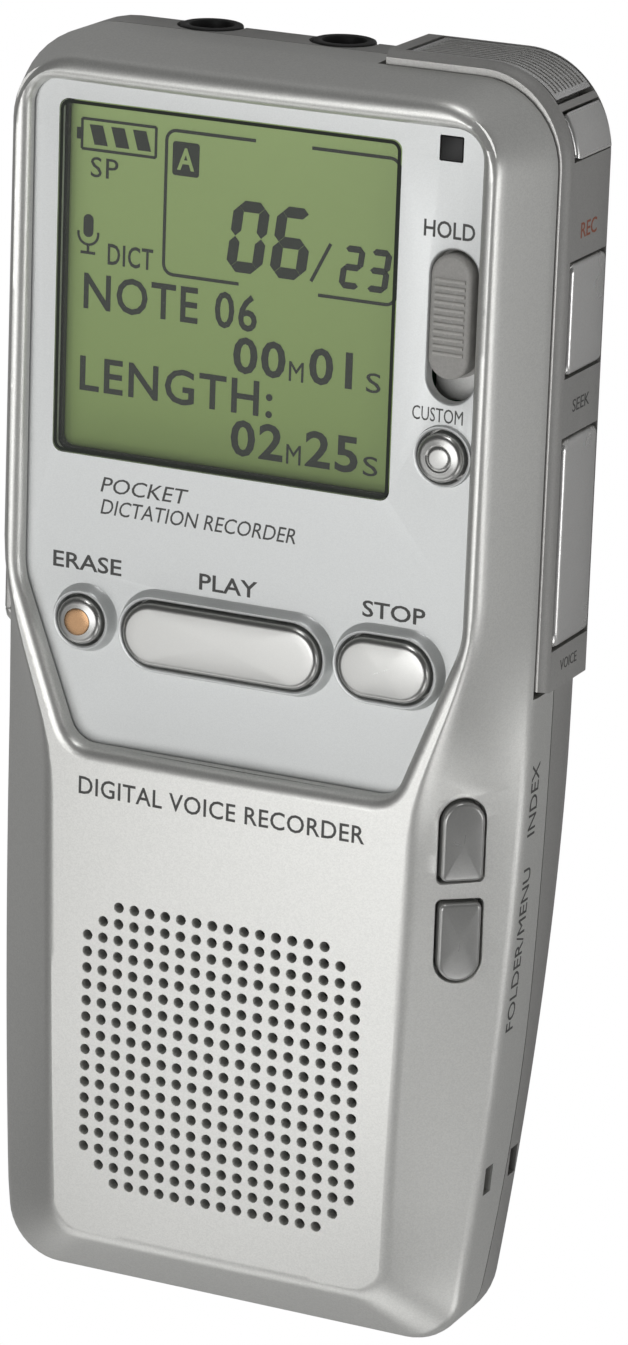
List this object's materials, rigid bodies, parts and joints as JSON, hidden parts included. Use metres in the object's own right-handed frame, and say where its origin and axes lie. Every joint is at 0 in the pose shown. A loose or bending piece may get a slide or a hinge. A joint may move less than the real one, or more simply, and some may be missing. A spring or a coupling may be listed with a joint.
{
  "type": "digital dictation recorder",
  "caption": "Hand-held silver dictation recorder with a green segment display, wide front keys, drilled speaker field, side keys, jacks, and hinged card and battery doors.",
  "frame": {"origin": "centre of the footprint, on the surface that the recorder's flat back lies on", "axes": "+Z out of the front, +Y to the top end with the jacks, +X to the recorder's right side with the record key"},
  "size_m": [0.052, 0.1124, 0.0192],
  "materials": {
    "silver_paint": "satin silver paint on moulded plastic",
    "side_silver_paint": "satin darker silver paint on moulded plastic",
    "panel_silver": "fine satin silver paint on moulded plastic",
    "satin_chrome": "satin chrome plating on moulded plastic",
    "grey_plastic": "matt grey",
    "black_plastic": "matt black",
    "clear_window": "clear acrylic",
    "smoked_window": "smoked acrylic",
    "display_green": "reflective green segment display",
    "light_guide": "frosted light guide",
    "red_lamp": "red diffused lamp",
    "circuit_board": "green solder mask",
    "steel": "nickel-plated steel",
    "rubber": "matt black rubber",
    "paper_cone": "black doped paper",
    "cell_jacket": "printed film over a steel can"
  },
  "bodies": {
    "case": {"backlight_plate": "light_guide", "battery_1": "cell_jacket", "battery_2": "cell_jacket", "battery_bay": "black_plastic", "battery_bridge": "steel", "battery_contact_positive": "steel", "battery_door_pin": "steel", "bevel_key_board": "circuit_board", "card_door_pin": "steel", "card_socket": "steel", "case_screw_1": "steel", "case_screw_2": "steel", "case_screw_3": "steel", "contact_spring_1": "steel", "contact_spring_2": "steel", "control_panel": "panel_silver", "custom_switch": "black_plastic", "display_frame": "black_plastic", "display_glass": "display_green", "display_window": "clear_window", "dock_connector": "black_plastic", "earphone_jack": "black_plastic", "erase_switch": "black_plastic", "front_cover": "silver_paint", "hold_switch": "black_plastic", "index_switch": "black_plastic", "indicator_lamp": "red_lamp", "indicator_window": "smoked_window", "main_board": "circuit_board", "memory_card": "black_plastic", "menu_switch": "black_plastic", "microphone_boot": "rubber", "microphone_capsule": "steel", "microphone_grille": "satin_chrome", "microphone_jack": "black_plastic", "new_switch": "black_plastic", "play_switch": "black_plastic", "rear_cover": "side_silver_paint", "record_switch": "black_plastic", "rocker_pivot": "steel", "seek_back_switch": "black_plastic", "seek_forward_switch": "black_plastic", "side_bezel": "side_silver_paint", "side_key_board": "circuit_board", "speaker_cone": "paper_cone", "speaker_frame": "black_plastic", "speaker_magnet": "steel", "stop_switch": "black_plastic"},
    "play_button": {"play_button": "satin_chrome"},
    "stop_button": {"stop_button": "satin_chrome"},
    "erase_button": {"erase_button": "satin_chrome"},
    "custom_button": {"custom_button": "satin_chrome"},
    "hold_slider": {"hold_slider": "grey_plastic"},
    "index_button": {"index_button": "grey_plastic"},
    "menu_button": {"menu_button": "grey_plastic"},
    "record_button": {"record_button": "satin_chrome"},
    "new_button": {"new_button": "satin_chrome"},
    "seek_rocker": {"seek_rocker": "satin_chrome"},
    "battery_door": {"battery_door": "side_silver_paint"},
    "card_door": {"card_door": "side_silver_paint"}
  },
  "joints": [
    {"name": "play_press", "type": "slide", "parent": "case", "child": "play_button", "axis": [0, 0, -1], "range_m": [0, 0.0005], "stiffness_N_per_m": 400},
    {"name": "stop_press", "type": "slide", "parent": "case", "child": "stop_button", "axis": [0, 0, -1], "range_m": [0, 0.0005], "stiffness_N_per_m": 400},
    {"name": "erase_press", "type": "slide", "parent": "case", "child": "erase_button", "axis": [0, 0, -1], "range_m": [0, 0.0005], "stiffness_N_per_m": 400},
    {"name": "custom_press", "type": "slide", "parent": "case", "child": "custom_button", "axis": [0, 0, -1], "range_m": [0, 0.0005], "stiffness_N_per_m": 400},
    {"name": "hold_slide", "type": "slide", "parent": "case", "child": "hold_slider", "axis": [0, -1, 0], "range_m": [0, 0.0018]},
    {"name": "index_press", "type": "slide", "parent": "case", "child": "index_button", "axis": [-0.6374, 0, -0.7705], "range_m": [0, 0.0004], "stiffness_N_per_m": 400},
    {"name": "menu_press", "type": "slide", "parent": "case", "child": "menu_button", "axis": [-0.6374, 0, -0.7705], "range_m": [0, 0.0004], "stiffness_N_per_m": 400},
    {"name": "record_press", "type": "slide", "parent": "case", "child": "record_button", "axis": [-1, 0, 0], "range_m": [0, 0.0004], "stiffness_N_per_m": 400},
    {"name": "new_press", "type": "slide", "parent": "case", "child": "new_button", "axis": [-0.9397, -0.342, 0], "range_m": [0, 0.0004], "stiffness_N_per_m": 400},
    {"name": "seek_rock", "type": "hinge", "parent": "case", "child": "seek_rocker", "pos_m": [0.0244, 0.01565, 0.00565], "axis": [0, 0, 1], "range_deg": [-3.5, 3.5], "stiffness_Nm_per_rad": 0.02},
    {"name": "battery_door_hinge", "type": "hinge", "parent": "case", "child": "battery_door", "pos_m": [0.00875, -0.0055, 0.00095], "axis": [-1, 0, 0], "range_deg": [0, 95]},
    {"name": "card_door_hinge", "type": "hinge", "parent": "case", "child": "card_door", "pos_m": [-0.02485, 0.00255, 0.0067], "axis": [0, 0, 1], "range_deg": [0, 95]}
  ]
}
